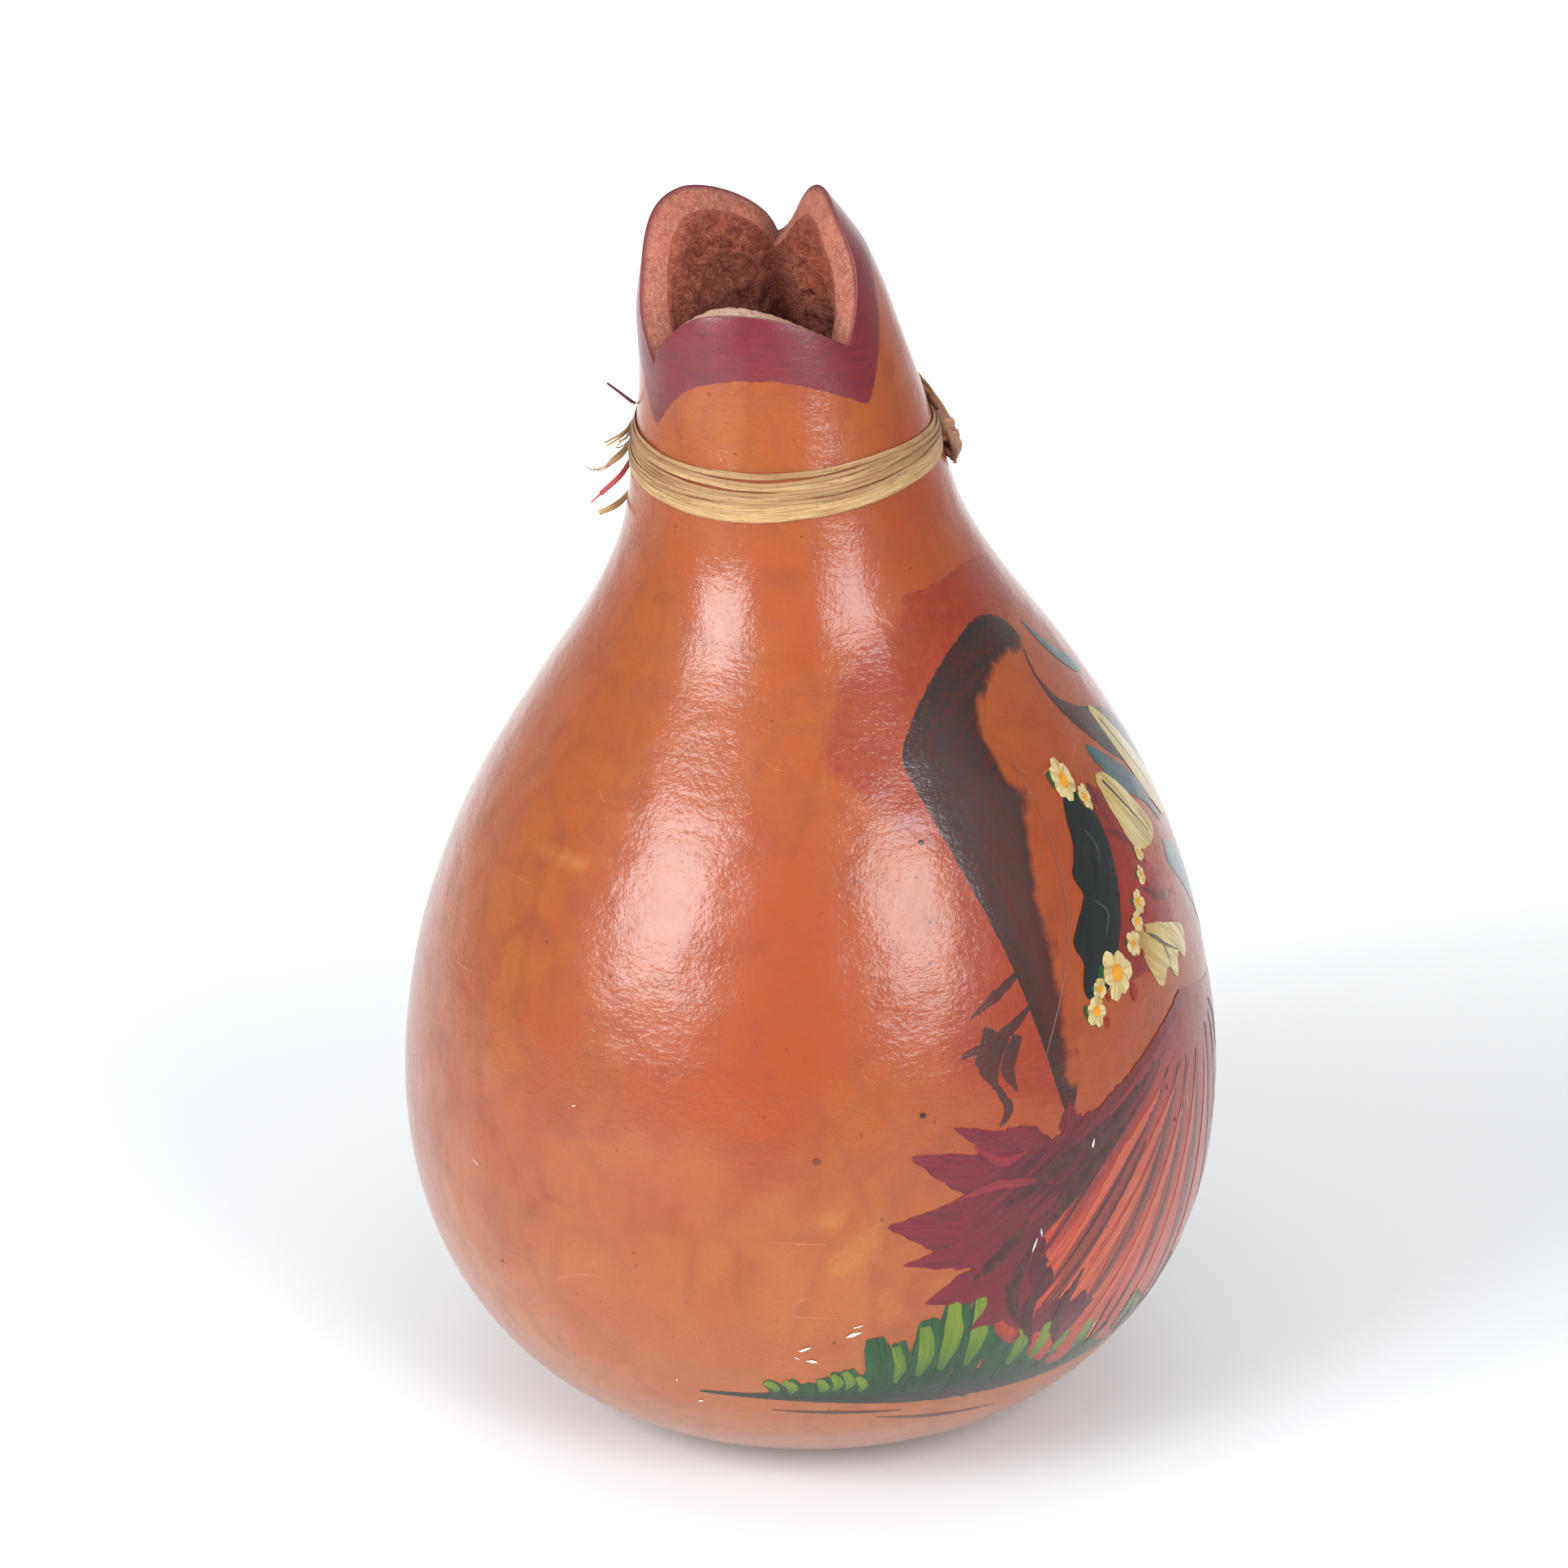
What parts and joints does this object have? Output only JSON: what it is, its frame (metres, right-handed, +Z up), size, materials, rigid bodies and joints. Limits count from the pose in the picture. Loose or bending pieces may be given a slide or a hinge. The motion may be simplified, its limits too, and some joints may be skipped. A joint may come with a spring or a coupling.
{
  "type": "painted gourd vessel",
  "caption": "Hollow pear-shaped dried gourd with a carved three-petal mouth, a bent neck, a painted skin and a raffia tie knotted round the neck.",
  "frame": {"origin": "middle of the flat spot that the gourd stands on", "axes": "+Z up along the gourd, -Y towards the low front petal of the mouth"},
  "size_m": [0.2168, 0.2168, 0.3305],
  "materials": {
    "gourd_skin": "glossy varnish over orange-brown gourd rind",
    "rim_paint": "satin maroon paint",
    "cut_rind": "matt sanded gourd rind",
    "folk_paint": "hand-painted enamel",
    "raffia": "dry fibrous straw",
    "knot_raffia": "dry brown twisted raffia",
    "red_fibre": "dyed straw",
    "maroon_fibre": "dyed straw"
  },
  "bodies": {
    "root": {"gourd_shell": "gourd_skin", "raffia_strand_1": "raffia", "raffia_strand_2": "raffia", "raffia_strand_3": "raffia", "raffia_strand_4": "raffia", "raffia_strand_5": "raffia", "raffia_strand_6": "raffia", "raffia_strand_7": "raffia", "raffia_knot": "knot_raffia", "raffia_bight": "raffia", "raffia_knot_tail": "knot_raffia", "red_fibre": "red_fibre", "maroon_fibre": "maroon_fibre"}
  },
  "joints": []
}
